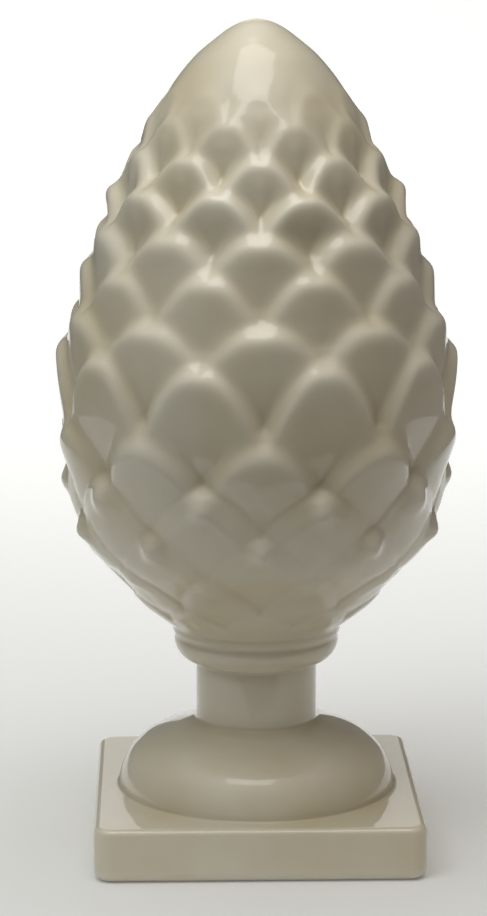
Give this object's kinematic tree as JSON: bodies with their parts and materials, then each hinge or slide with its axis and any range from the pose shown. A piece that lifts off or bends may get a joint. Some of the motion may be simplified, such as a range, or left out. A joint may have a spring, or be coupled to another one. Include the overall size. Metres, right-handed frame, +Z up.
{
  "type": "artichoke finial",
  "caption": "Cream glazed ceramic artichoke finial: a leafy egg-shaped body on a collar, short stem, domed foot and square plinth.",
  "frame": {"origin": "centre of the plinth's flat underside", "axes": "+Z up along the axis of the body and stem, -Y towards the front face of the plinth, +X to the right"},
  "size_m": [0.184, 0.187, 0.38],
  "materials": {
    "cream_glaze": "thick glossy cream glaze over slip-cast earthenware, pooled darker in the notches"
  },
  "bodies": {
    "root": {"artichoke_ornament": "cream_glaze"}
  },
  "joints": []
}
